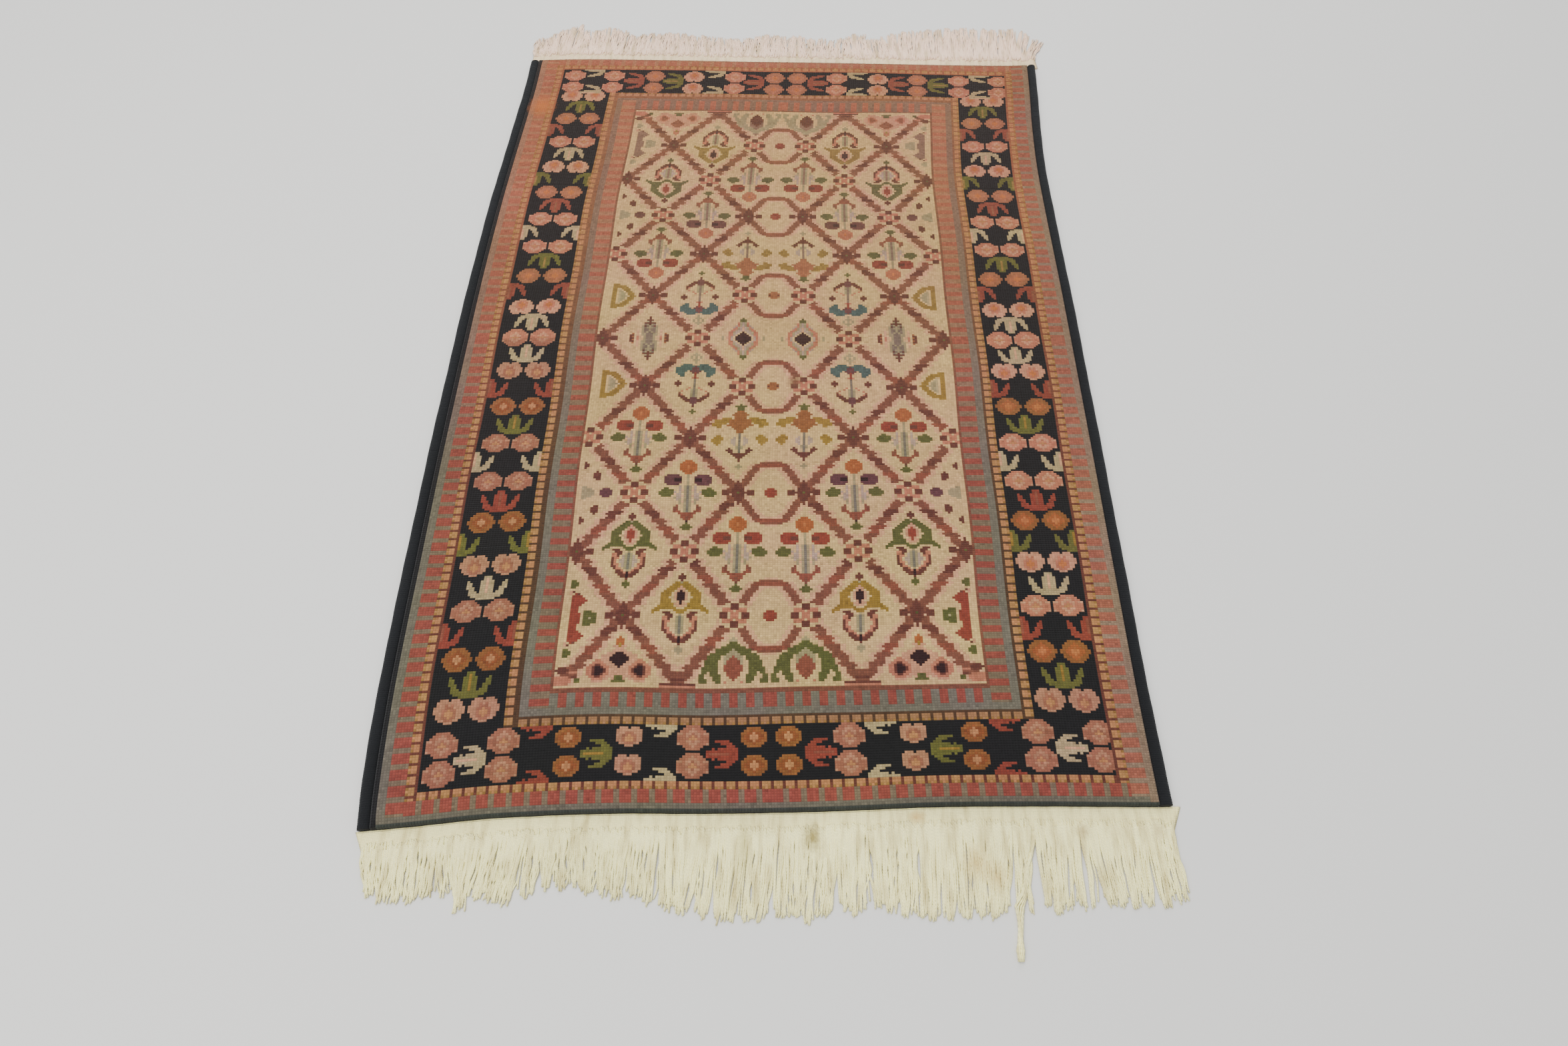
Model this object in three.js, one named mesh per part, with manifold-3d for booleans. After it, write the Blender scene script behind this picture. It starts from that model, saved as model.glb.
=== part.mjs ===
// A small hand-knotted kazak rug lying flat on a floor, in millimetres.
// +Y runs along the rug to its far end, +X to the right and +Z up. The floor is z = 0.
// Five pieces: the pile cloth, the two overcast selvedges, and the two flat woven end bands,
// each with its warp ends as a fringe.

import * as THREE from "three";
import { mergeVertices } from "three/addons/utils/BufferGeometryUtils.js";
import Module from "manifold-3d";

const wasm = await Module();
wasm.setup();

// The cloth: knotted pile on its cotton ground
const PILE_HEIGHT = 7.6;
const PILE_RIM_HEIGHT = 6.2;
const PILE_RIM_SHARE = 0.012;
const PILE_WAVES = [
  { height: 0.35, across: 2.3, along: 3.1, start: 0.6 },
  { height: 0.25, across: 5.2, along: 2.2, start: 2.1 },
  { height: 0.15, across: 3.7, along: 8.9, start: 4.0 },
];
const PILE_STEPS_ACROSS = 26;
const PILE_STEPS_ALONG = 28;

// The overcast side cords
const SELVEDGE_WIDTH = 9.4;
const SELVEDGE_HEIGHT = 6.8;
const SELVEDGE_SIDES = 10;
const SELVEDGE_SQUARENESS = 0.75;
const SELVEDGE_SWELL = { width: 0.4, height: 0.3, pitch: 0.043 };

// The space between neighbouring pieces
const PIECE_GAP = 0.4;

// The long sides of the whole rug at stations along it, selvedges included
const SIDES = [
  { along: -470, left: -287.0, right: 287.4 },
  { along: -436, left: -291.4, right: 287.2 },
  { along: -393, left: -295.0, right: 286.6 },
  { along: -340, left: -297.8, right: 286.2 },
  { along: -245, left: -300.2, right: 286.6 },
  { along: -120, left: -302.6, right: 287.2 },
  { along: 60, left: -303.6, right: 287.4 },
  { along: 180, left: -301.8, right: 286.4 },
  { along: 250, left: -299.2, right: 286.6 },
  { along: 320, left: -296.0, right: 289.8 },
  { along: 380, left: -293.6, right: 294.4 },
  { along: 450, left: -293.0, right: 298.6 },
];

// The two ends of the pile at stations across it
const ENDS = [
  { across: -292, near: -457.5, far: 434.6 },
  { across: -248, near: -453.0, far: 437.0 },
  { across: -195, near: -447.0, far: 437.4 },
  { across: -114, near: -443.0, far: 436.0 },
  { across: -40, near: -442.4, far: 434.2 },
  { across: 40, near: -440.2, far: 433.0 },
  { across: 120, near: -436.4, far: 431.2 },
  { across: 200, near: -435.2, far: 429.4 },
  { across: 262, near: -435.2, far: 429.0 },
  { across: 296, near: -434.6, far: 430.6 },
];

// The flat woven end bands, narrower where the strands leave them
const BAND_THICKNESS = 2.4;
const BAND_STEPS = 30;
const BAND_CORNER_SHARE = 0.017;
const BANDS = {
  near: { outward: -1, width: 17, nipLeft: 8, nipRight: 8, spreadLeft: 1.5, spreadRight: 6 },
  far: { outward: 1, width: 25, nipLeft: 0, nipRight: 2, spreadLeft: 0, spreadRight: 4 },
};

// The fringe strands, flat on the floor and apart beyond their roots
const STRANDS_AN_END = 110;
const STRAND = {
  rootDepth: 3,
  rootWidth: 3.3,
  tipWidth: 2.0,
  rootHeight: 2.0,
  tipHeight: 1.5,
  steps: 5,
  apart: 0.7,
  wander: 0.9,
  bow: 0.54,
  bowPitch: 0.11,
  uneven: 1.6,
};

// How far each fringe reaches and how much its tips lean sideways
const NEAR_FRINGE = [
  { across: -284, lean: 2, tip: -496 },
  { across: -262, lean: 1, tip: -503 },
  { across: -232, lean: 3, tip: -503 },
  { across: -221, lean: 6, tip: -497 },
  { across: -212, lean: 1, tip: -511 },
  { across: -200, lean: -4, tip: -503 },
  { across: -172, lean: -2, tip: -505 },
  { across: -146, lean: 3, tip: -494 },
  { across: -112, lean: 0, tip: -501 },
  { across: -84, lean: -3, tip: -502 },
  { across: -64, lean: 1, tip: -511 },
  { across: -54, lean: -5, tip: -504 },
  { across: -26, lean: -4, tip: -516 },
  { across: 6, lean: -6, tip: -512 },
  { across: 16, lean: -1, tip: -513 },
  { across: 44, lean: -4, tip: -511 },
  { across: 54, lean: 2, tip: -503 },
  { across: 62, lean: -3, tip: -511 },
  { across: 70, lean: 3, tip: -503 },
  { across: 96, lean: -2, tip: -512 },
  { across: 150, lean: -2, tip: -510 },
  { across: 170, lean: -6, tip: -507 },
  { across: 183, lean: 1, tip: -507 },
  { across: 214, lean: -3, tip: -507 },
  { across: 222, lean: 3, tip: -504 },
  { across: 258, lean: 0, tip: -503 },
  { across: 280, lean: 4, tip: -499 },
  { across: 290, lean: 7, tip: -489 },
];
const FAR_FRINGE = [
  { across: -293, lean: -1, tip: 485 },
  { across: -272, lean: 1, tip: 499 },
  { across: -248, lean: 3, tip: 513 },
  { across: -232, lean: -3, tip: 500 },
  { across: -208, lean: 1, tip: 508 },
  { across: -177, lean: 3, tip: 494 },
  { across: -140, lean: 0, tip: 498 },
  { across: -62, lean: -2, tip: 488 },
  { across: -20, lean: 1, tip: 494 },
  { across: 32, lean: 0, tip: 491 },
  { across: 56, lean: 4, tip: 486 },
  { across: 92, lean: -1, tip: 497 },
  { across: 112, lean: -4, tip: 486 },
  { across: 140, lean: 2, tip: 502 },
  { across: 190, lean: 3, tip: 508 },
  { across: 262, lean: 5, tip: 508 },
  { across: 282, lean: 9, tip: 508 },
  { across: 294, lean: 18, tip: 484 },
];

// One long loose lock of the near fringe, tied in a knot at its end, with a slack loop half way
const LOOSE_LOCK = {
  root: 176,
  lean: -5,
  besideTips: -3,
  tip: -538,
  steps: 12,
  width: 2.9,
  loop: { at: 0.62, reach: 0.07, side: -2.2, width: 5.2, height: 3.2 },
  knot: { at: 0.96, reach: 0.07, side: 0, width: 6.4, height: 4.6 },
};

// A smooth curve through one column of a station table
function through(table, key, column, at) {
  const last = table.length - 1;
  let row = 0;
  while (row < last - 1 && at > table[row + 1][key]) {
    row += 1;
  }
  const before = table[Math.max(row - 1, 0)];
  const start = table[row];
  const end = table[row + 1];
  const after = table[Math.min(row + 2, last)];
  const span = end[key] - start[key];
  const t = THREE.MathUtils.clamp((at - start[key]) / span, 0, 1);
  const leaving = (span * (end[column] - before[column])) / (end[key] - before[key]);
  const arriving = (span * (after[column] - start[column])) / (after[key] - start[key]);
  const fromStart = (2 * t - 3) * t * t + 1;
  const leavingShare = ((t - 2) * t + 1) * t;
  const arrivingShare = (t - 1) * t * t;
  return (
    fromStart * start[column] +
    (1 - fromStart) * end[column] +
    leavingShare * leaving +
    arrivingShare * arriving
  );
}

const leftSide = (along) => through(SIDES, "along", "left", along);
const rightSide = (along) => through(SIDES, "along", "right", along);
const pileEnd = (end, across) => through(ENDS, "across", end, across);

// A repeatable value from -1 to 1 for each whole number
function uneven(index, series) {
  const wave = Math.sin(index * 12.9898 + series * 78.233) * 43758.5453;
  return 2 * (wave - Math.floor(wave)) - 1;
}

// Moves every vertex of a geometry, then merges the ones that meet
function shaped(geometry, place) {
  const position = geometry.attributes.position;
  const vertex = new THREE.Vector3();
  for (let i = 0; i < position.count; i += 1) {
    vertex.fromBufferAttribute(position, i);
    place(vertex);
    position.setXYZ(i, vertex.x, vertex.y, vertex.z);
  }
  geometry.deleteAttribute("normal");
  geometry.deleteAttribute("uv");
  return mergeVertices(geometry, 1e-4);
}

// Sets the first and the last inner row of a face close to its rim
function withRim(t, steps, rim) {
  if (t <= 0 || t >= 1) {
    return THREE.MathUtils.clamp(t, 0, 1);
  }
  return rim + ((1 - 2 * rim) * (t * steps - 1)) / (steps - 2);
}

// The place of a share across and along the pile, u and v from 0 to 1
function onPile(u, v) {
  const inset = SELVEDGE_WIDTH + PIECE_GAP;
  let across = THREE.MathUtils.lerp(SIDES[0].left, SIDES[0].right, u);
  let along = 0;
  for (let pass = 0; pass < 3; pass += 1) {
    along = THREE.MathUtils.lerp(pileEnd("near", across), pileEnd("far", across), v);
    across = THREE.MathUtils.lerp(leftSide(along) + inset, rightSide(along) - inset, u);
  }
  return { across, along };
}

// The height of the pile's top away from its rim
function pileTop(u, v) {
  return PILE_WAVES.reduce(
    (height, wave) => height + wave.height * Math.sin(Math.PI * (wave.across * u + wave.along * v) + wave.start),
    PILE_HEIGHT,
  );
}

// The pile cloth, level underneath, with its top rounding down to the rim
function pileCloth() {
  const cloth = new THREE.BoxGeometry(1, 1, 1, PILE_STEPS_ACROSS, PILE_STEPS_ALONG, 1);
  return shaped(cloth, (vertex) => {
    const u = withRim(vertex.x + 0.5, PILE_STEPS_ACROSS, PILE_RIM_SHARE);
    const v = withRim(vertex.y + 0.5, PILE_STEPS_ALONG, PILE_RIM_SHARE);
    const { across, along } = onPile(u, v);
    const atRim = u === 0 || u === 1 || v === 0 || v === 1;
    const top = atRim ? PILE_RIM_HEIGHT : pileTop(u, v);
    vertex.set(across, along, vertex.z > 0 ? top : 0);
  });
}

// One overcast side cord, its underside flat on the floor
function selvedge(side) {
  const turn = Math.PI / SELVEDGE_SIDES;
  const cord = new THREE.CylinderGeometry(1, 1, 1, SELVEDGE_SIDES, PILE_STEPS_ALONG, false, turn);
  const lowest = Math.cos(turn);
  const corner = side < 0 ? ENDS[0].across : ENDS.at(-1).across;
  return shaped(cord, (vertex) => {
    const share = withRim(vertex.y + 0.5, PILE_STEPS_ALONG, PILE_RIM_SHARE);
    const along = THREE.MathUtils.lerp(pileEnd("near", corner), pileEnd("far", corner), share);
    const swell = Math.sin(along * SELVEDGE_SWELL.pitch);
    const edge = side < 0 ? leftSide(along) : rightSide(along);
    const middle = edge - (side * SELVEDGE_WIDTH) / 2;
    const outside = vertex.x * side > 0;
    const width = SELVEDGE_WIDTH - (outside ? SELVEDGE_SWELL.width * (1 + swell) : 0);
    const height = SELVEDGE_HEIGHT + SELVEDGE_SWELL.height * swell;
    const squared = Math.sign(vertex.x) * Math.abs(vertex.x) ** SELVEDGE_SQUARENESS;
    const across = middle + (squared * width) / 2;
    const up = Math.max((vertex.z / lowest + 1) / 2, 0);
    vertex.set(
      across,
      THREE.MathUtils.lerp(pileEnd("near", across), pileEnd("far", across), share),
      up * height,
    );
  });
}

// The left and right ends of an end band, at a share of the way from the cloth to the strands
function bandSpan(end, share) {
  const band = BANDS[end];
  const corner = pileEnd(end, end === "near" ? ENDS[0].across : ENDS.at(-1).across);
  const left = leftSide(corner) - band.spreadLeft + band.nipLeft * share;
  const right = rightSide(corner) + band.spreadRight - band.nipRight * share;
  return { left, right };
}

// The y of an end band at a place across it, at a share of its width from the cloth
function bandEdge(end, across, share) {
  const band = BANDS[end];
  return pileEnd(end, across) + band.outward * (PIECE_GAP + share * band.width);
}

// The flat woven strip that carries one fringe
function endBand(end) {
  const band = BANDS[end];
  const strip = new THREE.BoxGeometry(1, 1, 1, BAND_STEPS, 1, 1);
  return shaped(strip, (vertex) => {
    const share = 0.5 + band.outward * vertex.y;
    const span = bandSpan(end, share);
    const u = withRim(vertex.x + 0.5, BAND_STEPS, BAND_CORNER_SHARE);
    const across = THREE.MathUtils.lerp(span.left, span.right, u);
    vertex.set(across, bandEdge(end, across, share), vertex.z > 0 ? BAND_THICKNESS : 0);
  });
}

// A soft step up and down again around one place on a strand
function bump(t, spot) {
  const away = Math.abs(t - spot.at) / spot.reach;
  return Math.max(0, 1 - away * away);
}

// One strand from its root inside the band to its tip, four-sided and level on the floor
function strand(end, rootAcross, tip, steps, width, spots) {
  const outward = BANDS[end].outward;
  const start = bandEdge(end, rootAcross, 1) - outward * STRAND.rootDepth;
  const rod = new THREE.BoxGeometry(1, 1, 1, 1, steps, 1);
  return shaped(rod, (vertex) => {
    const t = 0.5 + outward * vertex.y;
    const eased = t * t * (3 - 2 * t);
    let across = THREE.MathUtils.lerp(rootAcross, tip.across, eased);
    across += STRAND.bow * Math.sin(rootAcross * STRAND.bowPitch) * Math.sin(Math.PI * t);
    let wide = THREE.MathUtils.lerp(width.root, width.tip, t);
    let high = THREE.MathUtils.lerp(STRAND.rootHeight, STRAND.tipHeight, t);
    for (const spot of spots) {
      const share = bump(t, spot);
      across += share * spot.side;
      wide += share * (spot.width - width.tip);
      high += share * (spot.height - STRAND.tipHeight);
    }
    vertex.set(across + vertex.x * wide, THREE.MathUtils.lerp(start, tip.along, t), vertex.z > 0 ? high : 0);
  });
}

// A closed geometry as a solid that can be joined
function asSolid(geometry) {
  return new wasm.Manifold(
    new wasm.Mesh({
      numProp: 3,
      vertProperties: new Float32Array(geometry.attributes.position.array),
      triVerts: new Uint32Array(geometry.index.array),
    }),
  );
}

// A joined solid as a geometry again
function asGeometry(solid) {
  const mesh = solid.getMesh();
  const geometry = new THREE.BufferGeometry();
  geometry.setAttribute("position", new THREE.BufferAttribute(new Float32Array(mesh.vertProperties), 3));
  geometry.setIndex(new THREE.BufferAttribute(new Uint32Array(mesh.triVerts), 1));
  return geometry;
}

// One end band with its fringe fused into it
function fringe(end, table) {
  const outer = bandSpan(end, 1);
  const pitch = (outer.right - outer.left) / STRANDS_AN_END;
  const width = { root: STRAND.rootWidth, tip: STRAND.tipWidth };
  const lockWidth = { root: LOOSE_LOCK.width, tip: LOOSE_LOCK.width };
  const lockSpots = [LOOSE_LOCK.loop, LOOSE_LOCK.knot];
  let solid = asSolid(endBand(end));
  let lastTip = -Infinity;
  for (let i = 0; i < STRANDS_AN_END; i += 1) {
    const across = outer.left + (i + 0.5) * pitch;
    const isLoose = end === "near" && Math.abs(across - LOOSE_LOCK.root) <= pitch / 2;
    const lean = isLoose ? LOOSE_LOCK.besideTips : through(table, "across", "lean", across);
    const wanted = across + lean + uneven(i, 1) * STRAND.wander;
    const tipAcross = Math.max(wanted, lastTip + STRAND.tipWidth + STRAND.apart);
    const along = through(table, "across", "tip", across) + uneven(i, 2) * STRAND.uneven;
    if (isLoose) {
      const tip = { across: across + LOOSE_LOCK.lean, along: LOOSE_LOCK.tip };
      solid = solid.add(asSolid(strand(end, across, tip, LOOSE_LOCK.steps, lockWidth, lockSpots)));
    } else {
      const tip = { across: tipAcross, along };
      solid = solid.add(asSolid(strand(end, across, tip, STRAND.steps, width, [])));
    }
    lastTip = tipAcross;
  }
  return asGeometry(solid);
}

const FINISHES = {
  pile: new THREE.MeshStandardMaterial({ color: "#8a5a48", roughness: 0.95, metalness: 0 }),
  overcast: new THREE.MeshStandardMaterial({ color: "#1b1d27", roughness: 0.9, metalness: 0 }),
  cotton: new THREE.MeshStandardMaterial({ color: "#ddd2b4", roughness: 0.92, metalness: 0 }),
};

// Adds one named piece to the rug
function addPiece(rug, name, geometry, finish) {
  const piece = new THREE.Mesh(geometry, FINISHES[finish]);
  piece.name = name;
  rug.add(piece);
}

const rug = new THREE.Group();
addPiece(rug, "rug_body", pileCloth(), "pile");
addPiece(rug, "selvedge_left", selvedge(-1), "overcast");
addPiece(rug, "selvedge_right", selvedge(1), "overcast");
addPiece(rug, "fringe_near", fringe("near", NEAR_FRINGE), "cotton");
addPiece(rug, "fringe_far", fringe("far", FAR_FRINGE), "cotton");

// The origin goes to the middle of the rug's footprint, on the floor
const extent = new THREE.Box3().setFromObject(rug);
const middle = extent.getCenter(new THREE.Vector3());
rug.position.set(-middle.x, -middle.y, 0);

export default rug;
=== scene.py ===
"""A small hand-knotted wool rug with a lattice field, overcast edges and cotton fringes.

Lengths are in millimetres in the rug's own frame: across from left to right, along from the
near fringe to the far one, and up from the floor.
"""

import math

import bmesh
import bpy
import numpy as np
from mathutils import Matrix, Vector


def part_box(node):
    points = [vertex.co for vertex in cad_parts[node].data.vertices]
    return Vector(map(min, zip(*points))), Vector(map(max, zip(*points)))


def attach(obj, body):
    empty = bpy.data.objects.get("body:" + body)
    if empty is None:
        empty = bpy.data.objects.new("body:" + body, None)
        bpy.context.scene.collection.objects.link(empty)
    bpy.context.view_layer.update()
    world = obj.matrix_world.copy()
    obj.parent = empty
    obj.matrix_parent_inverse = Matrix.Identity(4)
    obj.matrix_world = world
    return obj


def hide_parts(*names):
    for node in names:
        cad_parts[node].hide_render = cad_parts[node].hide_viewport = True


MM = 0.001
SEED = 11

# Where the selvedges run: their outer edges at stations along the rug
SIDES = {
    "along": [-470, -436, -393, -340, -245, -120, 60, 180, 250, 320, 380, 450],
    "left": [-287, -291.4, -295, -297.8, -300.2, -302.6, -303.6, -301.8, -299.2, -296, -293.6, -293],
    "right": [287.4, 287.2, 286.6, 286.2, 286.6, 287.2, 287.4, 286.4, 286.6, 289.8, 294.4, 298.6],
}
# Where the pile ends, at stations across the rug
ENDS = {
    "across": [-292, -248, -195, -114, -40, 40, 120, 200, 262, 296],
    "near": [-457.5, -453, -447, -443, -442.4, -440.2, -436.4, -435.2, -435.2, -434.6],
    "far": [434.6, 437, 437.4, 436, 434.2, 433, 431.2, 429.4, 429, 430.6],
}
PILE = {"height": 7.6, "rim_height": 6.2, "rim_share": 0.012, "underside": 0.5}
# The slow waves of the pile's top: their height, half turns across and along the rug, and start
PILE_WAVES = [(0.35, 2.3, 3.1, 0.6), (0.25, 5.2, 2.2, 2.1), (0.15, 3.7, 8.9, 4.0)]
PANELS = 4
TUFT = {"rise": 0.34, "stray": 0.16, "sway": 0.5}
PIECE_GAP = 0.4
SELVEDGE = {"width": 9.4, "height": 6.8, "around": 14, "wrap": 1.7, "ridge": 0.32}
BANDS = {
    "near": {"outward": -1, "width": 17, "nip": (8, 8), "spread": (1.5, 6)},
    "far": {"outward": 1, "width": 25, "nip": (0, 2), "spread": (0, 4)},
}
BAND = {"thickness": 2.0, "columns": 300, "rows": 8}
LOCKS_AN_END = 110
YARN = {"a_lock": 9, "around": 4, "steps": 15, "root": 0.95, "tip": 0.6}
# How the fringe's locks lean and how far they reach, at stations across each end
FRINGES = {
    "near": {
        "across": [-284, -262, -232, -221, -212, -200, -172, -146, -112, -84, -64, -54, -26, 6, 16,
                   44, 54, 62, 70, 96, 150, 170, 183, 214, 222, 258, 280, 290],
        "lean": [7, 3, 3, 6, 1, -4, -2, 3, 0, -3, 1, -5, -4, -6, -1,
                 -4, 2, -3, 3, -2, -2, -6, 1, -3, 3, 0, 4, 7],
        "tip": [-496, -503, -503, -497, -511, -503, -505, -494, -501, -502, -511, -504, -516, -512,
                -513, -511, -503, -511, -503, -512, -510, -507, -507, -507, -504, -503, -499, -489],
    },
    "far": {
        "across": [-293, -272, -248, -232, -208, -177, -140, -62, -20, 32, 56, 92, 112, 140, 190,
                   262, 282, 294],
        "lean": [-1, 1, 3, -3, 1, 3, 0, -2, 1, 0, 4, -1, -4, 2, 3, 5, 9, 18],
        "tip": [485, 499, 513, 500, 508, 494, 498, 488, 494, 491, 486, 497, 486, 502, 508,
                508, 508, 484],
    },
}
LOOSE_LOCK = {"root": 183, "lean": -15, "spread": 1.3, "tip": -538, "loop_at": 0.62, "loop_side": -2.2,
              "knot_at": 0.955, "knot_reach": 0.05}

# Where the photographer stood, in the rug's own frame
CAMERA = {"place": (12.6, -639.5, 709.2), "tip_up": 31.88, "turn": 0.47, "lens": 22.82}

# The wool dyes, one letter for each
DYES = {
    "f": "#e0cb98", "F": "#dfb898", "m": "#805448", "n": "#683f39", "d": "#8b5346", "k": "#15161a",
    "K": "#3d4748", "x": "#331a1f", "r": "#8e453a", "A": "#96504a", "p": "#c1836e", "w": "#d4a58b",
    "o": "#a8653a", "j": "#c27f4f", "z": "#8f6238", "y": "#988138", "g": "#5c6538", "s": "#676f37",
    "t": "#4f696b", "e": "#a5a283", "b": "#757874", "B": "#70736e", "q": "#7d7467", "l": "#b8aaa2",
    "u": "#64404c", "c": "#bbb390", "a": "#c08f66", "v": "#ba9362", "i": "#9e7e48", "h": "#54402e",
    "I": "#a58160", "R": "#6a3f36", "Q": "#95867a", "T": "#a66a5c", "W": "#b98d76", "P": "#a3705e",
    "O": "#8e5733",
}
# The dyes that turn most towards the far end, lighter and warmer there: painted light of the pile's nap
# seen against its lean
FAR_DYES = {
    "q": "#b3866c", "b": "#8c766a", "B": "#a68270", "A": "#b0735e", "m": "#876450", "d": "#906450",
    "n": "#6c4c3e", "o": "#b67f66", "z": "#ab7860", "r": "#8d5245", "I": "#bd8f70", "h": "#946c52",
    "y": "#96854f", "R": "#a06a50", "g": "#696d4c", "u": "#75574f", "x": "#55403a",
}

# How the wool takes the light: the painted shade of the pile's depth on each primary, its scatter, the
# painted light of its nap towards the far end, and the painted shade in the gaps between knots
WOOL = {"depth": (0.565, 0.5, 0.43), "sheen": 0.06, "nap_light": 0.02, "pale": "#b98b70", "tint": "#fff0e6",
        "gap_shade": 0.22, "yellowish": "#fffbe4", "pinkish": "#fff0ee", "knot_scatter": 0.10,
        "skein_scatter": 0.05, "turns_from": 0.25, "turns_over": 0.6}
# The cotton's colour at each end of the rug, the UV map of its relief and the relief's depth
COTTON = {
    "woven": {"near": "#fef3aa", "far": "#f3d8ac", "map": "weave", "depth": 0.25},
    "twisted": {"near": "#fff7b2", "far": "#fbdabe", "map": "yarn", "depth": 0.2},
}
# Dust streaks on the cotton, partly painted shade between the fringe's locks: their dye and amount
DUST_AND_SHADE = {"dye": "#ad985e", "amount": 0.65}
# How fine each material's fibres are and how much they vary
FIBRES = {"pile": (2600.0, 0.5), "overcast": (1800.0, 1.4), "cotton": (900.0, 0.4)}
OVERCAST_DYE = "#0d0e10"
# Old marks on the cotton and the wool: place and half size in the rug's own frame, dye and amount
COTTON_MARKS = [
    ((31, -459), (6.5, 10), "#8d7c40", 0.9),
    ((105, -444), (6, 5), "#c79a52", 0.7),
    ((221, -453), (5, 6), "#9c8052", 0.6),
    ((144, -475), (10, 12), "#cdb26a", 0.7),
    ((157, -484), (9, 11), "#cdb26a", 0.6),
    ((-17, -465), (5, 26), "#c5ba7a", 0.75),
    ((274, -452), (6, 8), "#a98f62", 0.5),
]
WOOL_MARKS = [
    ((-268, 348), (14, 18), "#a8602e", 0.85),
    ((18, -51), (7, 9), "#5f432e", 0.85),
]

# The studio: soft round lights by their place, aim, size in metres and power in watts
LIGHTS = {
    "overhead": ((-0.5, 0.3, 2.4), (0, 0, 0), 2.0, 66),
    "window": ((0.6, 2.4, 1.5), (0, 0.1, 0), 1.6, 31),
    "front": ((-1.2, -1.6, 1.4), (0, -0.2, 0), 1.2, 24),
}
SKY = {"colour": (0.92, 0.95, 1.0, 1), "strength": 0.97}
FLOOR = {"dye": "#cfcdc8", "half_size": 6}

# The knotted design, worked out knot by knot.
# A chart is the right half of a motif, its centre column first, one letter for each knot.
# A dot leaves the ground as it is, and a chart's first row lies nearest the middle of the rug.

FIELD_HALF_ACROSS = 76
FIRST_COLUMN = 13
CELL_ACROSS = 20.4
FIELDS = {"near": {"half": 181, "cell": 30}, "far": {"half": 175, "cell": 29}}

# The bands of the border from the pile's edge inwards, and their knots at each edge of the rug
BORDER_EDGES = ("left", "right", "near", "far")
BORDER_BANDS = {
    "edge_line": (2, 0, 1, 0),
    "outer_grey": (3, 3, 2, 1),
    "outer_check": (6, 6, 5, 6),
    "outer_beads": (4, 4, 3, 4),
    "main": (27, 25, 22, 22),
    "inner_beads": (4, 3, 3, 4),
    "dark_line": (1, 1, 1, 1),
    "inner_grey": (3, 3, 3, 2),
    "inner_check": (7, 7, 6, 8),
    "field_line": (1, 1, 2, 1),
}

# A palmette: an arch of leaves (L) round a ring (W) and a core (C), on a cup (F) with a drop (B)
PALMETTE_ARCH = """
n nn nn n eLL LLLL WLLLL WWLLLL CW.LLLL CCW.LLLL CCW.LLLL CCW..LLL CCW.LLLL CW..LLLL CWWLLLLL
WW.LLLLLL ..LLLLLLLL LLL.....LLL
""".split()
PALMETTE_STEM = """
LL..nnn...L e..nnn be.nnpp beF.npp beF.ppn beFF.pn beFF.pn beF.ppn beF.pnn be.ppn e.pnn
xpnnn xnnn xnn n B BB BB B
""".split()

THREE_FLOWERS = """
oo ooo oooo jooo jooo oooo ooo oo e...rrrrr e..rrrrrrr e..nnnrrrr e..nnnrrrr e..rrrrrrr
e...rrrrr be.l be.l....gg beFl..ggggg be.l.lgggggg be.llFgggggg beFll..gggg
be.lle be.el beFe be.e be..m be..mm be..dm be.ddd dddd ddd mdd md n g gg ggg gg
""".split()

WINGED_TULIP = """
g ggg gg gg zz zzz zzzz zzz zzz.yyyy zzzzzyyyyyy zzzzzyyyyyy zzzzz.yyyyyy zzzzzz..yyyy zzzz....yy
zzz zz zz b b.......yy b.l....yyyy b.ll...yyyyy b.ll....yyyy b.ll....yyy b.l......y
be be..n b..nnn b..nn nnnn nnn nn n n . e ee e
""".split()

TEAL_WINGS = """
e ee e.e e.e ee e e ..tttt utttttt uuttttttt uuttttttt uuu.ttttt ru...tttt r....ttt r....tt rp b
b......n b.....nnn b.....nnn b......n b.p be.p be...p be....m be...pn be..nnn uu.nnn uunnn uunn
uu u n . g gg g
""".split()

DARK_BLOOM = """
o oo oo yo yww ww www xxwww xxxwwww xxxxwww xxxxwwwpp xxxwwwpppp xxwwwppnnpp xwwwppnxxnpp
wwwwpnxxxnpp wwwwpnxxxnpp wwwwppnxxnpp ggwwwppnnpp ggw.wwpppp ggg...wwww
""".split()

GREEN_ARCH = """
e ee gg ggg ggggg egggggg eeggggg eeegggggg deee.ggggg ddee.ggggg ddde..ggggg ddde..ggggg
dddd..ggggg dddd..gggggg dddd..gggggg ddd...ggg.gg ddd..gggg..gg dd...ggg...gg d....ggg..ggg
...p.gg...ggg
""".split()

# These charts run from the top to the motif's middle row only, and are completed by reflection
RED_HALF_PALMETTE = """
gg ggg ggg gg . wn w.rn .rrrr .rrrrr .rrrrrr .rrrrr .rrrr .rrr .rrr .rrr..ggg .rrrr.ggggg
.rrrr.ggggg .rrrr.ggegg
""".split()
BUDS = """
n nn nn n . .....n ....nnn ....nnn ....nnn .....nn . . . ee eeee....uuu eeeee..uuuuu
eeeee..uuuuu
""".split()
GREEN_FRAME = """
..yyy ..yyyyyy ..yyyyyyy ..yy..yyyy ..yy.c.yyy ..yy.ce.yyy ..yy.cee.yyy ..yy.cee.yyy ..yy.ceee.yyy
""".split()
PALE_FLOWER = """
n n nn ne ebn eeb ebbe. ebbe.. bebe... bbee.F. bbee.F. bbe..p.z bbe..p.nn bb..Fp.nn
""".split()
BLACK_FLOWER = """
g gg gg lep lep lepl Flepl Flepp Fllepp x.llepp xx.lepp xxx.lpp xxxx.lpF.e xxxx.lpF.e
""".split()
SMALL_FLOWER = "rr rrr rrd".split()
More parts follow.
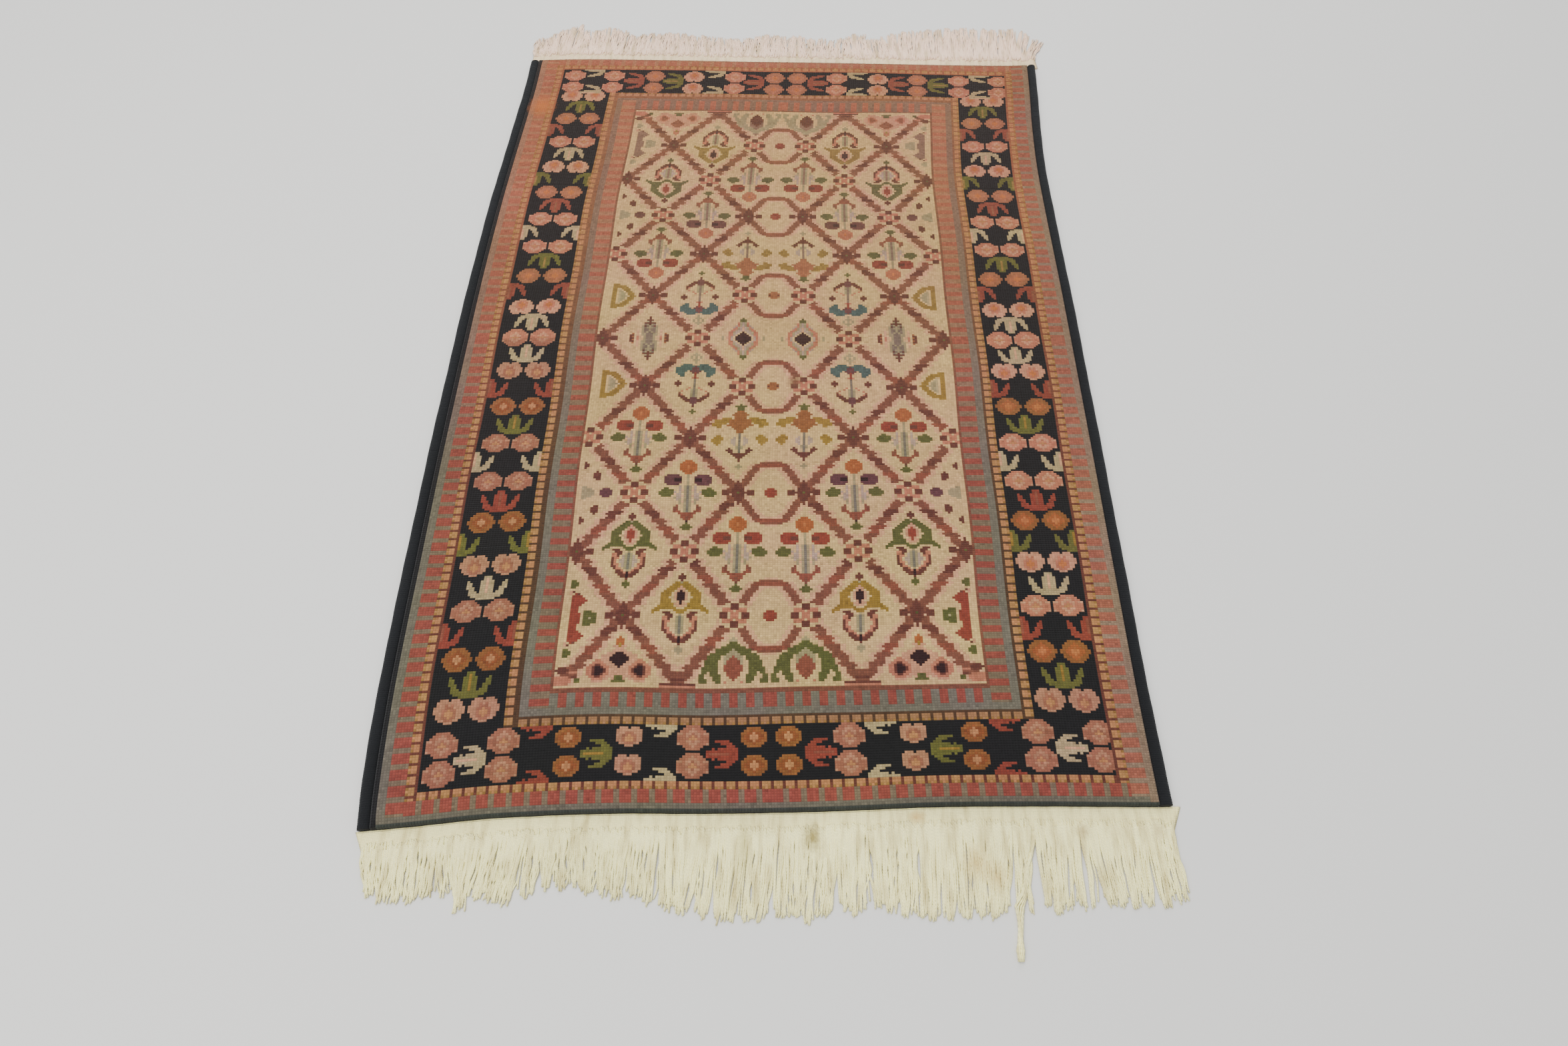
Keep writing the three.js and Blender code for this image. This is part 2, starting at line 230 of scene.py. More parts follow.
PINK_CROSS = "ff nnff nnfff nnpppf fppppf ppfnnnf ppfnnnf".split()
DARK_STAR = "n n nn nn nnn nnn.nnn gnnnnnn".split()
END_NODE = "mm mmm mm nnn . nnnnnnn ppppppp".split()
CORNER_PATCH = "nn nnn nn.ppp . ppp.nn pppp.gg pppp.gg ppp".split()

# The rosettes and leaf sprays of the main border. An s takes the colour of the spray, a v its vein.
ROSETTES = {
    "eight": "ppp wppp wwppp pwwpww apwppp aapppp pwwppp wwpppw wppp ppp".split(),
    "orange": "zzz ozzz oozzz joozz jjoozz jjoozz joozz oozzz ozzz zzz".split(),
    "five": ".www wwwww wpwww. ppwwww jppwww jjpwww jjpww. jppww ppww ww".split(),
}
SPRAY = "ss vs vss....s vss...ss vss...ss vss..sss vss..ss vss.sss sssssss ssssss ssss".split()
SLIM_SPRAY = "ss vs vss vs...s vss..s vss.ss vss.ss vsssss sssss ssss sss".split()

# The main border's beat, in knots, and what lies at each beat and between it and the next
SIDE_BEAT = 21
SIDE_PAIRS = ["eight", "five", "orange", "eight", "eight", "orange", "five", "eight", "orange", "five"]
SIDE_SPRAYS = ["cream", "red", "green"]
END_BEAT = 21.4
END_FIRST_PAIR = 6
END_PAIRS = ["orange", "eight", "five", "orange", "eight", "eight"]
END_SPRAYS = ["red", "cream", "green", "red", "cream"]
FAR_RIGHT_SPRAYS = ["red", "cream", "red", "green", "cream"]
PARTED_SPRAYS = {"near": (1, 3), "far": (1, 4)}
# The main border's colours darkened by painted shade, where the light falls off: across the near end and
# along the near half of the left side
SHADED_BORDER_LETTERS = {"w": "W", "p": "P", "o": "O", "j": "a"}
# The outer check's colours at the right, where it has faded most
FADED_LETTERS = {"q": "Q", "B": "Q", "A": "T"}
SPRAY_LETTERS = {"cream": ("c", "F"), "red": ("r", "d"), "green": ("s", "y")}


def mirrored(chart):
    """A chart given down to its middle row, completed with its reflection."""
    return chart + chart[-2::-1]


def recoloured(chart, letters):
    """The same chart in other colours."""
    return ["".join(letters.get(letter, letter) for letter in line) for line in chart]


def set_knot(quarter, column, row, letter):
    """Ties one knot, unless the chart leaves the ground there or the place is off the cloth."""
    if letter != "." and 0 <= abs(row) < len(quarter) and 0 <= column < len(quarter[0]):
        quarter[abs(row)][column] = letter


def knots_of(chart):
    """Each knot of a chart: its row, its offset from the centre column and its letter."""
    return [(step, offset, letter) for step, line in enumerate(chart) for offset, letter in enumerate(line)]


def stamp(quarter, chart, column, row, ways=(1, -1)):
    """Knots a motif into the quarter, its first row at the given row; one way knots only that half."""
    for step, offset, letter in knots_of(chart):
        for way in ways:
            set_knot(quarter, abs(column + way * offset), row + step, letter)


def stamp_sideways(quarter, chart, column, row, ways=(1, -1)):
    """Knots a motif that points to the corner of the rug, its base at the given column."""
    for step, offset, letter in knots_of(chart):
        for way in ways:
            set_knot(quarter, column + len(chart) - 1 - step, row + way * offset, letter)


def lattice_bar(quarter, start, end, rim):
    """One diagonal bar of the field's lattice between two nodes, or the pinkish rim beside it."""
    (column, row), (last_column, last_row) = start, end
    for line in range(min(row, last_row), max(row, last_row) + 1):
        share = (line - row) / (last_row - row)
        middle = column + share * (last_column - column)
        half = 2.3 if line % 4 < 2 else 1.3
        letter = "mmnmdmm"[(line // 4 + round(column)) % 7]
        for place in range(max(0, round(middle - half - rim)), round(middle + half + rim) + 1):
            set_knot(quarter, place, line, "F" if rim else letter)


def cloud_frame(quarter, row, cell, rim):
    """The flat-topped frame round the small flower on the rug's middle line."""
    flat_from = cell // 2
    for up in (-1, 1):
        for step in range(flat_from + 1):
            middle = FIRST_COLUMN - max(0, step - 2) * 7.5 / (flat_from - 2)
            for place in range(round(middle - 1.8 - rim), round(middle + 1.8 + rim)):
                set_knot(quarter, place, row + up * step, "F" if rim else "m")
        for step in range(3 + rim):
            for place in range(7 - step):
                letter = "F" if rim else "ddm"[step]
                set_knot(quarter, place, row + up * (flat_from - 1 + step - rim // 2), letter)


def node_column(step):
    return round(FIRST_COLUMN + CELL_ACROSS * step)


def knot_lattice(quarter, cell, rim):
    """The bars of the field's lattice, with a cloud frame in every second row of cells."""
    for number in (1, 3, 5):
        row = number * cell
        for step in (0, 2):
            for side in (-1, 1):
                if step + side >= 0:
                    for up in (-1, 1):
                        last = (node_column(step + side), row + up * cell)
                        lattice_bar(quarter, (node_column(step), row), last, rim)
        cloud_frame(quarter, row, cell, rim)


def knot_nodes(quarter, cell):
    """The small crosses and stars where the bars meet."""
    for number in range(6):
        steps = (1, 3) if number % 2 == 0 else (0, 2)
        for turn, step in enumerate(steps):
            is_pink = (number // 2 + turn) % 2 == 0
            chart = mirrored(PINK_CROSS if is_pink else DARK_STAR)
            stamp(quarter, chart, node_column(step), number * cell - len(chart) // 2)


def knot_field(quarter, end):
    """The lattice of the field and the flowers in its cells."""
    cell = FIELDS[end]["cell"]
    for rim in (2, 0):
        knot_lattice(quarter, cell, rim)
    knot_nodes(quarter, cell)
    first, second, third, last = (node_column(step) for step in range(4))
    palmette = PALMETTE_ARCH + PALMETTE_STEM
    gold_palmette = recoloured(palmette, {"L": "y", "W": "w", "C": "x", "F": ".", "B": "e"})
    green_palmette = recoloured(palmette, {"L": "g", "W": "w", "C": "r", "F": "l", "B": "g"})
    plum_flowers = recoloured(THREE_FLOWERS, {"r": "u", "n": "x"})
    bloom, arch, half_palmette = DARK_BLOOM, GREEN_ARCH, RED_HALF_PALMETTE
    if end == "far":
        bloom = recoloured(DARK_BLOOM, {"p": "w", "x": "d", "n": "p"})
        half_palmette = recoloured(RED_HALF_PALMETTE, {"r": "b", "g": "e"})
        arch = recoloured(GREEN_ARCH, {"g": "e", "d": "n", "e": "b"})
    dark_flower = recoloured(SMALL_FLOWER, {"r": "z", "d": "n"})
    for chart, cells, start in [
        (mirrored(half_palmette), 5, -16),
        (mirrored(BUDS), 3, -16),
        (mirrored(GREEN_FRAME), 1, -9),
    ]:
        stamp(quarter, chart, last, cells * cell + start, (-1,))
    for chart, column, cells, start in [
        (arch, first, 6, -20),
        (bloom, third, 6, -20),
        (END_NODE, second, 6, -5),
        (CORNER_PATCH, last, 6, -7),
        (gold_palmette, second, 5, -19),
        (mirrored(SMALL_FLOWER), 0, 5, -2),
        (THREE_FLOWERS, first, 4, -17),
        (green_palmette, third, 4, -19),
        (plum_flowers, second, 3, -17),
        (mirrored(SMALL_FLOWER), 0, 3, -2),
        (WINGED_TULIP, first, 2, -19),
        (THREE_FLOWERS, third, 2, -17),
        (TEAL_WINGS, second, 1, -20),
        (mirrored(dark_flower), 0, 1, -2),
        (mirrored(PALE_FLOWER), third, 0, -14),
        (mirrored(BLACK_FLOWER), first, 0, -13),
    ]:
        stamp(quarter, chart, column, cells * cell + start)


def end_rosette(kind, end):
    """The chart of a rosette of an end border: the near one's are smaller unless they have eight petals."""
    chart = ROSETTES[kind]
    if kind == "eight" or end == "far":
        return chart
    return ["."] + [line[:5] for step, line in enumerate(chart) if step not in (2, 7)]


def spray(colour, chart):
    """The chart of a leaf spray in its colour."""
    leaf, vein = SPRAY_LETTERS[colour]
    return recoloured(chart, {"s": leaf, "v": vein})


def knot_side_border(quarter, first, wide):
    """The rosette pairs and sprays of the dark border along a side, from the middle outwards."""
    middle = first + wide // 2
    for beat, kind in enumerate(SIDE_PAIRS):
        row = beat * SIDE_BEAT
        for column in (middle - wide // 4, middle + wide // 4):
            stamp(quarter, ROSETTES[kind], column, row - 5)
        if beat + 1 < len(SIDE_PAIRS):
            chart = spray(SIDE_SPRAYS[beat % 3], SPRAY)
            between = row + SIDE_BEAT // 2 - 5
            if beat % 2 == 0:
                stamp(quarter, chart, middle, between)
            else:
                stamp(quarter, chart, first, between, (1,))
                stamp(quarter, chart, first + wide - 1, between, (-1,))


def knot_end_border(quarter, first, high, side, end):
    """The rosette pairs and sprays of the dark border across an end, from the middle outwards."""
    middle = first + high // 2
    sprays = FAR_RIGHT_SPRAYS if (side, end) == ("right", "far") else END_SPRAYS
    for beat, kind in enumerate(END_PAIRS):
        column = round(END_FIRST_PAIR + beat * END_BEAT)
        for row in (middle - 11, middle):
            stamp(quarter, end_rosette(kind, end), column, row)
        if beat + 1 < len(END_PAIRS):
            chart = spray(sprays[beat], SLIM_SPRAY if end == "near" else SPRAY)
            between = column + round(END_BEAT / 2) - 5
            if beat in PARTED_SPRAYS[end]:
                stamp_sideways(quarter, chart, between, first - 1, (1,))
                stamp_sideways(quarter, chart, between, first + high, (-1,))
            else:
                stamp_sideways(quarter, chart, between, middle)


def knot_main_border(quarter, side, end, borders):
    """The dark border of one quarter; borders gives its first knot and its width each way."""
    (first, wide), (first_row, high) = borders
    knot_side_border(quarter, first, wide)
    knot_end_border(quarter, first_row, high, side, end)
    # Painted shade: darker border colours across the near end and along the near half of the left side
    if end == "near":
        shaded_from = 0 if side == "left" else FIELDS[end]["half"]
        for row in quarter[shaded_from:]:
            row[:] = [SHADED_BORDER_LETTERS.get(letter, letter) for letter in row]


def band_at(depth, widths):
    """The border band at a depth in knots from the pile's edge, and the depth inside it."""
    for number, width in enumerate(widths):
        if depth < width:
            return number, depth
        depth -= width
    return len(widths), depth


def band_letter(band, place, depth, wide, across):
    """The colour of a knot in a narrow band; across is true where the band lies at a side."""
    if band in ("outer_check", "inner_check"):
        ground = "q" if band == "outer_check" or across else "b"
        return "A" if place % 6 < (4 if band == "outer_check" else 3) else ground
    if band in ("outer_beads", "inner_beads"):
        rim = "R" if band == "outer_beads" else "h"
        if wide > 3 and depth == wide - 1:
            return rim
        if place % 4 == 0:
            return rim
        if depth == 0 and place % 2 == 1:
            return "i"
        if band == "inner_beads" and not across:
            return "I"
        return "a" if (place // 4) % 3 else "v"
    if band == "edge_line":
        return "k" if across else "K"
    return {"outer_grey": "B", "inner_grey": "b", "dark_line": "h", "field_line": "m"}[band]


def knot_quarter(side, end):
    """One quarter of the rug from its middle outwards."""
    names = list(BORDER_BANDS)
    by_side, by_end = (
        [widths[BORDER_EDGES.index(edge)] for widths in BORDER_BANDS.values()] for edge in (side, end)
    )
    half_across = FIELD_HALF_ACROSS + sum(by_side)
    half_along = FIELDS[end]["half"] + sum(by_end)
    field = [["f"] * (FIELD_HALF_ACROSS + 1) for _ in range(FIELDS[end]["half"] + 1)]
    knot_field(field, end)
    quarter = [["k"] * (half_across + 1) for _ in range(half_along + 1)]
    main = names.index("main")
    side_border = (half_across - sum(by_side[: main + 1]) + 1, by_side[main])
    end_border = (half_along - sum(by_end[: main + 1]) + 1, by_end[main])
    knot_main_border(quarter, side, end, (side_border, end_border))
    for row in range(half_along + 1):
        for column in range(half_across + 1):
            side_band, side_depth = band_at(half_across - column, by_side)
            end_band, end_depth = band_at(half_along - row, by_end)
            number = min(side_band, end_band)
            if number == len(names):
                quarter[row][column] = field[row][column]
            elif number != main and side_band <= end_band:
                letter = band_letter(names[number], row, side_depth, by_side[number], True)
                is_faded = side == "right" and number < main
                quarter[row][column] = FADED_LETTERS.get(letter, letter) if is_faded else letter
            elif number != main:
                quarter[row][column] = band_letter(names[number], column, end_depth, by_end[number], False)
    return quarter


def knot_design():
    """All rows of knots from the near end to the far end, each a list of letters."""
    halves = []
    for end in ("near", "far"):
        left = knot_quarter("left", end)
        right = knot_quarter("right", end)
        halves.append([one[:0:-1] + other for one, other in zip(left, right)])
    near, far = halves
    return near[:0:-1] + far


def through(table, key, column, at):
    """A smooth curve through a table's stations, read at one or many places."""
    stations = np.array(table[key], float)
    values = np.array(table[column], float)
    at = np.asarray(at, float)
    row = np.clip(np.searchsorted(stations, at, side="left") - 1, 0, len(stations) - 2)
    before = np.maximum(row - 1, 0)
    after = np.minimum(row + 2, len(stations) - 1)
    span = stations[row + 1] - stations[row]
    t = np.clip((at - stations[row]) / span, 0, 1)
    leaving = span * (values[row + 1] - values[before]) / (stations[row + 1] - stations[before])
    arriving = span * (values[after] - values[row]) / (stations[after] - stations[row])
    from_start = (2 * t - 3) * t * t + 1
    return (
        from_start * values[row]
        + (1 - from_start) * values[row + 1]
        + ((t - 2) * t + 1) * t * leaving
        + (t - 1) * t * t * arriving
    )


def left_side(along):
    return through(SIDES, "along", "left", along)


def right_side(along):
    return through(SIDES, "along", "right", along)


def pile_end(end, across):
    return through(ENDS, "across", end, across)


def uneven(index, series):
    """A scatter between minus one and one that is the same each time."""
    wave = np.sin(np.asarray(index, float) * 12.9898 + series * 78.233) * 43758.5453
    return 2 * (wave - np.floor(wave)) - 1


def smooth(t):
    t = np.clip(t, 0, 1)
    return t * t * (3 - 2 * t)


def on_pile(u, v):
    """The place on the floor of a share across and a share along the pile."""
    inset = SELVEDGE["width"] + PIECE_GAP
    across = SIDES["left"][0] + (SIDES["right"][0] - SIDES["left"][0]) * u
    middle_near = pile_end("near", 0)
    middle_far = pile_end("far", 0)
    for _ in range(3):
        along = middle_near + (middle_far - middle_near) * v
        along = along + (pile_end("near", across) - middle_near) * (1 - v) ** 3
        along = along + (pile_end("far", across) - middle_far) * v**3
        left = left_side(along) + inset
        right = right_side(along) - inset
        across = left + (right - left) * u
    return across, along


def to_rim(u, v):
    """How far inside the nearest rim a place on the pile lies."""
    return np.minimum(np.minimum(u, 1 - u), np.minimum(v, 1 - v))


def pile_top(u, v):
    """The height of the pile over its slow waves, lower at the rim."""
    height = np.full(np.shape(u), float(PILE["height"]))
    for rise, across, along, start in PILE_WAVES:
        height = height + rise * np.sin(math.pi * (across * u + along * v) + start)
    share = smooth(to_rim(u, v) / PILE["rim_share"])
    return PILE["rim_height"] + (height - PILE["rim_height"]) * share


def linear_dye(code):
    """A dye's colour in linear light."""
    values = np.array([int(code[i : i + 2], 16) for i in (1, 3, 5)]) / 255
    return np.where(values <= 0.04045, values / 12.92, ((values + 0.055) / 1.055) ** 2.4)


def grid_of(columns, rows):
    """A flat sheet of square faces, one unit each, with its near left corner at zero."""
    sheet = bmesh.new()
    bmesh.ops.create_grid(sheet, x_segments=columns, y_segments=rows, size=1)
    for vertex in sheet.verts:
        vertex.co.x = round((vertex.co.x + 1) / 2 * columns)
        vertex.co.y = round((vertex.co.y + 1) / 2 * rows)
    return sheet


def read(items, name, kind, wide=1):
    """One property of all vertices, corners or faces of a mesh."""
    values = np.zeros(len(items) * wide, kind)
    items.foreach_get(name, values)
    return values


def as_mesh(sheet, name):
    """The finished mesh of a bmesh, and its vertices' first two coordinates."""
    mesh = bpy.data.meshes.new(name)
    sheet.to_mesh(mesh)
    sheet.free()
    spots = read(mesh.vertices, "co", np.float32, 3).reshape(-1, 3).astype(float)
    return mesh, spots[:, 0], spots[:, 1]


def corner_vertices(mesh):
    return read(mesh.loops, "vertex_index", np.int32)


def corner_faces(mesh):
    """For each corner of the mesh, the face that it belongs to."""
    sizes = read(mesh.polygons, "loop_total", np.int32)
    return np.repeat(np.arange(len(sizes)), sizes)


def face_means(mesh, values):
    """The mean over each face of a value that its vertices hold."""
    faces = corner_faces(mesh)
    return np.bincount(faces, values[corner_vertices(mesh)]) / np.bincount(faces)


def place(mesh, across, along, up):
    """Moves the mesh's vertices to their places in the rug, in metres."""
    spots = np.stack([across + SHIFT[0], along + SHIFT[1], up], axis=1) * MM
    mesh.vertices.foreach_set("co", spots.astype(np.float32).ravel())
    mesh.update()


def add_uv(mesh, name, u, v):
    """A UV map from two values of every corner."""
    layer = mesh.uv_layers.new(name=name)
    layer.data.foreach_set("uv", np.stack([u, v], axis=1).astype(np.float32).ravel())


def lay_uv(mesh, name, u, v):
    """A UV map from two values of every vertex."""
    corners = corner_vertices(mesh)
    add_uv(mesh, name, u[corners], v[corners])


def add_object(name, data):
    thing = bpy.data.objects.new(name, data)
    bpy.context.scene.collection.objects.link(thing)
    return thing


def add_piece(mesh, material, nodes):
    """A finished piece that rides on the rug and takes the place of its plain solids."""
    mesh.shade_smooth()
    mesh.materials.append(material)
    piece = add_object(mesh.name, mesh)
    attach(piece, "root")
    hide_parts(*nodes)
    return piece


def add_dye(mesh, colours):
    """Keeps the wool's colour on every corner of the mesh."""
    layer = mesh.color_attributes.new("dye", "FLOAT_COLOR", "CORNER")
    full = np.concatenate([colours, np.ones((len(colours), 1))], axis=1)
    layer.data.foreach_set("color", full.astype(np.float32).ravel())


def add_knots(mesh, design, column, row, u, v):
    """Lays a woollen piece's dyes and maps, from its vertices' places in knots and their shares of it."""
    rows, columns = design.shape[:2]
    knot_column = np.clip(face_means(mesh, column), 0, columns - 1).astype(int)
    knot_row = np.clip(face_means(mesh, row), 0, rows - 1).astype(int)
    add_dye(mesh, design[knot_row, knot_column][corner_faces(mesh)])
    lay_uv(mesh, "knots", column, row)
    lay_uv(mesh, "OFBake", u * 0.996 + 0.002, v * 0.996 + 0.002)


def dyed_design(chance):
    """The colour of every knot, with the small differences between skeins and knots, lighter and warmer
    towards the far end with painted light of the pile's nap, and darkened throughout by the painted shade
    of the pile's depth.
    """
    rows = knot_design()
    letters = np.array([[ord(letter) for letter in row] for row in rows])
    colours = np.zeros(letters.shape + (3,))
    for letter, code in DYES.items():
        colours[letters == ord(letter)] = linear_dye(code)
    # Painted light of the pile's nap: the far dyes take over towards the far end
    away = smooth((np.arange(len(rows)) / len(rows) - WOOL["turns_from"]) / WOOL["turns_over"])
    turned = np.broadcast_to(away[:, None], letters.shape)
    for letter, code in FAR_DYES.items():
        here = letters == ord(letter)
        share = turned[here][:, None]
        colours[here] = colours[here] * (1 - share) + linear_dye(code) * share
    knot = 1 + WOOL["knot_scatter"] * chance.standard_normal(letters.shape)
    skein = 1 + WOOL["skein_scatter"] * chance.standard_normal((letters.shape[0], 1))
    skein = (skein + np.roll(skein, 1, 0) + np.roll(skein, 2, 0)) / 3
    # Painted shade of the pile's depth darkens every knot
    return colours * np.clip(knot * skein, 0.7, 1.3)[:, :, None] * np.array(WOOL["depth"])


def knot_place(column, row, sizes):
    """The place in the rug of a point given in knots, with a weaver's slight sway."""
    columns, rows = sizes
    u = np.clip(column / columns, 0, 1)
    v = np.clip(row / rows, 0, 1)
    across, along = on_pile(u, v)
    inside = smooth(to_rim(u, v) * 12)
    across = across + TUFT["sway"] * inside * np.sin(row * 0.071 + np.sin(column * 0.05))
    along = along + TUFT["sway"] * inside * np.sin(column * 0.083 + np.sin(row * 0.043) * 2)
    return u, v, across, along


def closed(mesh, outwards=True):
    """Joins a piece's seams and poles once its UV maps are laid, and turns its faces outwards."""
    sheet = bmesh.new()
    sheet.from_mesh(mesh)
    bmesh.ops.remove_doubles(sheet, verts=sheet.verts, dist=1e-6)
    if outwards:
        bmesh.ops.recalc_face_normals(sheet, faces=sheet.faces)
    sheet.to_mesh(mesh)
    sheet.free()


def pile_panel(number, design, chance, material):
    """One length of the pile, a tuft for every knot and a rim to the back, and its share of the rows."""
    rows, columns = design.shape[:2]
    first = rows * number // PANELS
    last = rows * (number + 1) // PANELS
    rim_near = 1 if number == 0 else 0
    rim_far = 1 if number == PANELS - 1 else 0
    high = last - first + rim_near + rim_far
    sheet = grid_of(columns + 2, high)
    tufts = []
    for face in sheet.faces:
        middle = face.calc_center_median()
        in_rows = rim_near < middle.y < high - rim_far
        if 1 < middle.x < columns + 1 and in_rows:
            tufts.append(face)
    bmesh.ops.poke(sheet, faces=tufts)
    mesh, x, y = as_mesh(sheet, f"wool_pile_{number + 1}")
    column = x - 1
    row = y - rim_near + first
    u, v, across, along = knot_place(column, row, (columns, rows))
    is_centre = np.abs(x % 1 - 0.5) < 0.25
    stray = chance.standard_normal((3, len(x))) * TUFT["stray"]
    up = pile_top(u, v) + np.where(is_centre, TUFT["rise"] + stray[2] * 0.6, -TUFT["rise"])
    is_low = (column < 0) | (column > columns) | (row < 0) | (row > rows)
    up = np.where(is_low, PILE["underside"], up)
    place(mesh, across + is_centre * stray[0], along + is_centre * stray[1], up)
    add_knots(mesh, design, column, row, x / (columns + 2), y / high)
    closed(mesh, outwards=False)
    return add_piece(mesh, material, ["rug_body"]), (last - first) / rows


def knotted_back(design, material):
    """The back of the rug, where every knot shows as a flat bead."""
    rows, columns = design.shape[:2]
    sheet = grid_of(columns, rows // 2)
    bmesh.ops.reverse_faces(sheet, faces=sheet.faces)
    mesh, column, y = as_mesh(sheet, "knotted_back")
    row = y * 2
    _, _, across, along = knot_place(column, row, (columns, rows))
    place(mesh, across, along, np.full(len(row), PILE["underside"]))
    add_knots(mesh, design, column, row, column / columns, row / rows)
    return add_piece(mesh, material, ["rug_body"])


def folded_uv(mesh, lengthwise, sideways, strips):
    """Lays a long piece's surface in strips, one above another, to fill the square."""
    strip = np.minimum(np.floor(face_means(mesh, lengthwise) * strips), strips - 1)
    strip = strip[corner_faces(mesh)]
    corners = corner_vertices(mesh)
    along_strip = (lengthwise[corners] * strips - strip) * 0.98 + 0.01
    up = (strip + sideways[corners] * 0.94 + 0.03) / strips
    add_uv(mesh, "OFBake", along_strip, up)


def along_tube(y, rings):
    """How far along a tube each ring lies, and nothing at its two closed ends or one between them."""
    return np.clip((y - 1) / (rings - 2), 0, 1), np.where((y < 0.5) | (y > rings - 0.5), 0, 1)


def selvedge(side, material):
    """The thick edge cord, overcast with dark wool wrap by wrap."""
    node = "selvedge_left" if side < 0 else "selvedge_right"
    name = node.replace("selvedge", "overcast_edge")
    corner = ENDS["across"][0] if side < 0 else ENDS["across"][-1]
    length = float(pile_end("far", corner) - pile_end("near", corner))
    rings = int(length / SELVEDGE["wrap"] * 4)
    mesh, x, y = as_mesh(grid_of(SELVEDGE["around"], rings), name)
    angle = x / SELVEDGE["around"] * 2 * math.pi
    share, is_open = along_tube(y, rings)
    along = pile_end("near", corner) + length * share
    turns = along / SELVEDGE["wrap"] + 0.35 * np.sin(along * 0.11) - angle * side / (2 * math.pi)
    wrap = np.abs(np.sin(math.pi * turns)) ** 0.6
    ridge = (wrap - 1) * SELVEDGE["ridge"] * (1 + 0.5 * np.sin(along * 0.37) * np.sin(along * 0.9))
    swell = 0.35 * np.sin(along * 0.043) + 0.22 * np.sin(along * 0.171 + side)
    wide = (SELVEDGE["width"] / 2 + ridge + 0.4 * swell) * is_open
    high = (SELVEDGE["height"] / 2 + ridge + 0.5 * swell) * is_open
    edge = left_side(along) if side < 0 else right_side(along)
    middle = edge - side * SELVEDGE["width"] / 2
    rounded = np.sign(np.sin(angle)) * np.abs(np.sin(angle)) ** 0.8
    across = middle + rounded * wide
    along = pile_end("near", across) * (1 - share) + pile_end("far", across) * share
    up = np.maximum(SELVEDGE["height"] / 2 - np.cos(angle) * high, 0)
    place(mesh, across, along, up)
    folded_uv(mesh, y / rings, x / SELVEDGE["around"], 6)
    closed(mesh)
    return add_piece(mesh, material, [node])


def band_span(end, share):
    band = BANDS[end]
    corner = pile_end(end, ENDS["across"][0] if end == "near" else ENDS["across"][-1])
    left = left_side(corner) - band["spread"][0] + band["nip"][0] * share
    right = right_side(corner) + band["spread"][1] - band["nip"][1] * share
    return left, right


def band_edge(end, across, share):
    band = BANDS[end]
    return pile_end(end, across) + band["outward"] * (PIECE_GAP + share * band["width"])


def end_band(end, material):
    """The plain woven cotton strip between the pile and the fringe, rolled shut at its rims."""
    columns = BAND["columns"]
    rows = BAND["rows"]
    around = 2 * rows + 2
    mesh, x, y = as_mesh(grid_of(columns, around), f"end_band_{end}")
    is_top = y <= rows + 0.5
    share = np.clip(np.where(is_top, y, around - 1 - y) / rows, 0, 1)
    left, right = band_span(end, share)
    across = left + (right - left) * x / columns
    crinkle = 0.25 * np.sin(across * 0.31) + 0.2 * np.sin(across * 0.127 + 1)
    up = np.where(is_top | (y > around - 0.5), BAND["thickness"] + crinkle * 0.6, 0.2)
    up = np.where((x < 0.5) | (x > columns - 0.5), BAND["thickness"] / 2, up)
    wavy = share * (0.5 * np.sin(across * 0.19) + 0.4 * np.sin(across * 0.083))
    place(mesh, across, band_edge(end, across, share) + wavy, up)
    lay_uv(mesh, "weave", across, share * BANDS[end]["width"])
    folded_uv(mesh, x / columns, y / around, 8)
    closed(mesh)
    return add_piece(mesh, material, [f"fringe_{end}"])


def copies_of(sheet, count):
    """Repeats a bmesh count times, each copy ten units further on."""
    made = 1
    while made < count:
        everything = sheet.verts[:] + sheet.edges[:] + sheet.faces[:]
        added = bmesh.ops.duplicate(sheet, geom=everything)["geom"]
        new = [item for item in added if isinstance(item, bmesh.types.BMVert)]
        bmesh.ops.translate(sheet, verts=new, vec=(10 * made, 0, 0))
        made *= 2
    extra = [vertex for vertex in sheet.verts if vertex.co.x > 10 * count - 5]
    bmesh.ops.delete(sheet, geom=extra, context="VERTS")
    return sheet


def yarn_plan(end, chance):
    """Where every yarn of a fringe starts and ends, lock by lock."""
    table = FRINGES[end]
    left, right = band_span(end, 1)
    pitch = (right - left) / LOCKS_AN_END
    number = np.arange(LOCKS_AN_END * YARN["a_lock"])
    lock = number // YARN["a_lock"]
    slot = number % YARN["a_lock"]
    lock_across = left + (lock + 0.5) * pitch
    tuft_across = left + (lock // 2 * 2 + 1) * pitch
    root = left + (number + 0.5) * pitch / YARN["a_lock"]
    lean = through(table, "across", "lean", lock_across) + uneven(lock // 2, 1) * 1.6
    reach = through(table, "across", "tip", lock_across) + uneven(lock // 2, 2) * 2.4
    gather = 0.58 + 0.32 * np.abs(uneven(lock // 2, 3))
    lean = lean + chance.standard_normal(len(number)) * 1.3
    pull = (tuft_across - root) * (1 - gather)
    short = 5 * ((root - tuft_across) / pitch) ** 2 + np.abs(chance.standard_normal(len(number))) * 2.6
    reach = reach - BANDS[end]["outward"] * (short - 1.5)
    is_loose = (end == "near") & (np.abs(lock_across - LOOSE_LOCK["root"]) <= pitch / 2)
    return {"root": root, "lean": lean, "pull": pull, "reach": reach, "slot": slot, "loose": is_loose}


